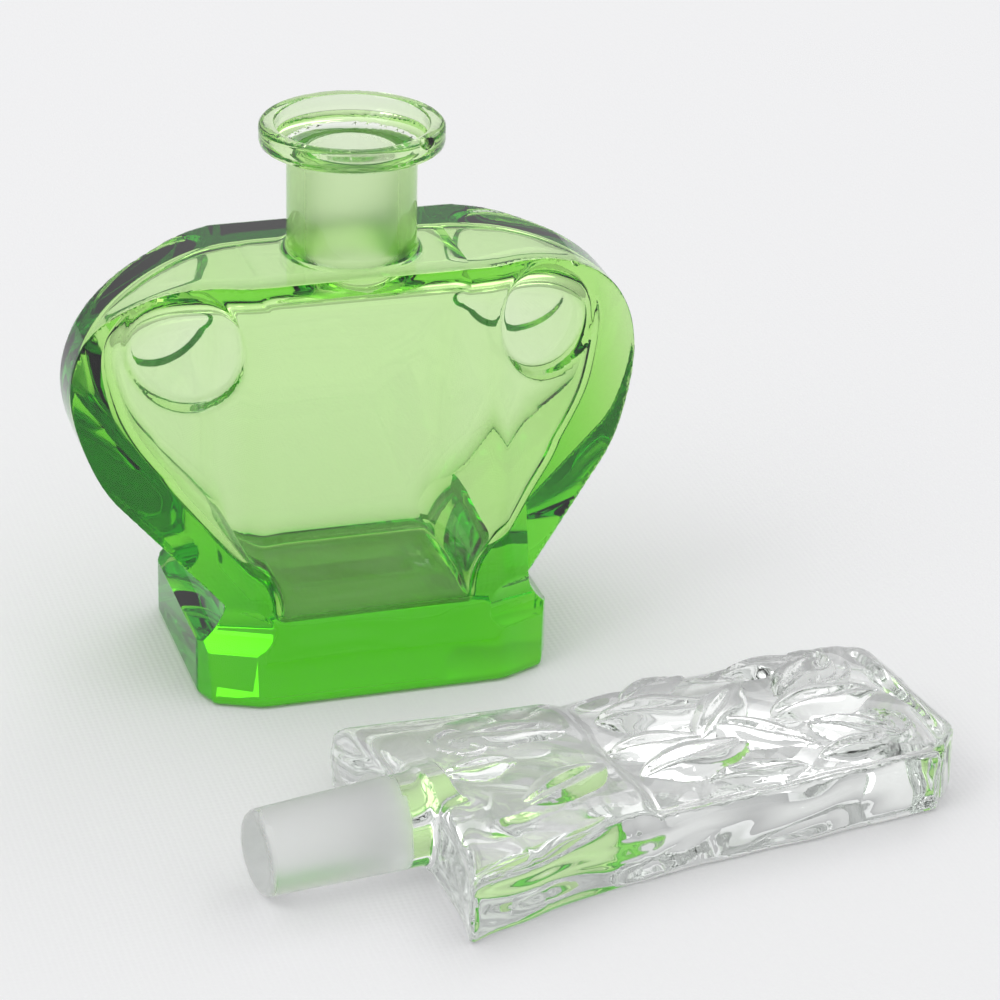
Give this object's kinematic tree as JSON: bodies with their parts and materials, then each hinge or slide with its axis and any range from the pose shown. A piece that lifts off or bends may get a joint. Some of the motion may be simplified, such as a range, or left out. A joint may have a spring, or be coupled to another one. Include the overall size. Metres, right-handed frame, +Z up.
{
  "type": "perfume flacon with stopper",
  "caption": "Cut green glass perfume flacon, heart-shaped body on a block foot, with its long clear glass stopper lying in front.",
  "frame": {"origin": "centre of the flacon's foot, on the table", "axes": "+X across the front to the right, +Y to the back, +Z up out of the mouth"},
  "size_m": [0.1202, 0.117, 0.0872],
  "materials": {
    "green_glass": "polished cut glass, coloured through",
    "clear_glass": "fire-polished pressed glass with a ground plug"
  },
  "bodies": {
    "bottle": {"flacon": "green_glass"},
    "loose_stopper": {"stopper": "clear_glass"}
  },
  "joints": [
    {"name": "stopper_tip_up", "type": "hinge", "parent": "bottle", "child": "loose_stopper", "pos_m": [-0.0333, -0.07503, 0], "axis": [0.165, -0.9863, 0], "range_deg": [0, 90]}
  ]
}
